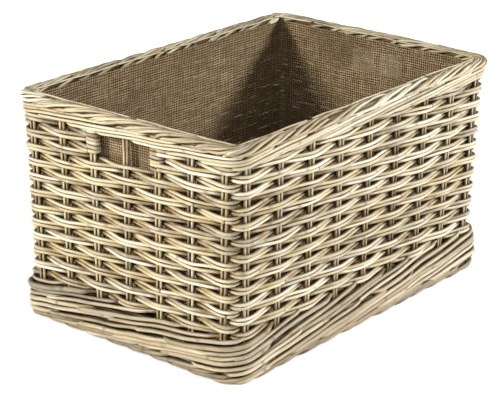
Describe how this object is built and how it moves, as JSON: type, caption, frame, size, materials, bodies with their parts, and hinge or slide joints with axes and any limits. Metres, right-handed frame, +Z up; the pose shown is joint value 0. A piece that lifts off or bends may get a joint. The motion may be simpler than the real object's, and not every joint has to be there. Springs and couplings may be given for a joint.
{
  "type": "log basket",
  "caption": "Rectangular woven rattan log basket with outward-leaning walls, a rolled rim, a flared waled foot, a hand hole in each short side and a hessian lining.",
  "frame": {"origin": "on the floor under the middle of the basket", "axes": "+X along the long walls, +Y along the short walls, +Z up"},
  "size_m": [0.7036, 0.4856, 0.391],
  "materials": {
    "rattan": "grey-washed peeled rattan, satin",
    "stake_rattan": "peeled rattan, satin",
    "foot_rattan": "grey-washed thick rattan, matt",
    "hessian": "coarse open jute weave"
  },
  "bodies": {
    "root": {"cross_stake_1": "stake_rattan", "cross_stake_2": "stake_rattan", "cross_stake_3": "stake_rattan", "cross_stake_4": "stake_rattan", "cross_stake_5": "stake_rattan", "cross_stake_6": "stake_rattan", "cross_stake_7": "stake_rattan", "cross_stake_8": "stake_rattan", "cross_stake_9": "stake_rattan", "long_stake_1": "stake_rattan", "long_stake_2": "stake_rattan", "long_stake_3": "stake_rattan", "long_stake_4": "stake_rattan", "long_stake_5": "stake_rattan", "long_stake_6": "stake_rattan", "long_stake_7": "stake_rattan", "row_1": "rattan", "row_2": "rattan", "row_3": "rattan", "row_4": "rattan", "row_5": "rattan", "row_6": "rattan", "row_7": "rattan", "row_8": "rattan", "row_9": "rattan", "row_10": "rattan", "row_11": "rattan", "row_12": "rattan", "row_13": "rattan", "row_14": "rattan", "row_15": "rattan", "row_16": "rattan", "row_17": "rattan", "row_18": "rattan", "row_19": "rattan", "row_20_front": "rattan", "row_20_back": "rattan", "row_21_front": "rattan", "row_21_back": "rattan", "row_22_front": "rattan", "row_22_back": "rattan", "left_hole_binding_1": "rattan", "left_hole_binding_2": "rattan", "right_hole_binding_1": "rattan", "right_hole_binding_2": "rattan", "rim_border": "rattan", "top_wale": "rattan", "foot_border": "foot_rattan", "foot_wale_1": "foot_rattan", "foot_wale_2": "foot_rattan", "foot_wale_3": "foot_rattan", "base_mat": "foot_rattan", "lining_front": "hessian", "lining_right": "hessian", "lining_back": "hessian", "lining_left": "hessian", "lining_floor": "hessian"}
  },
  "joints": []
}
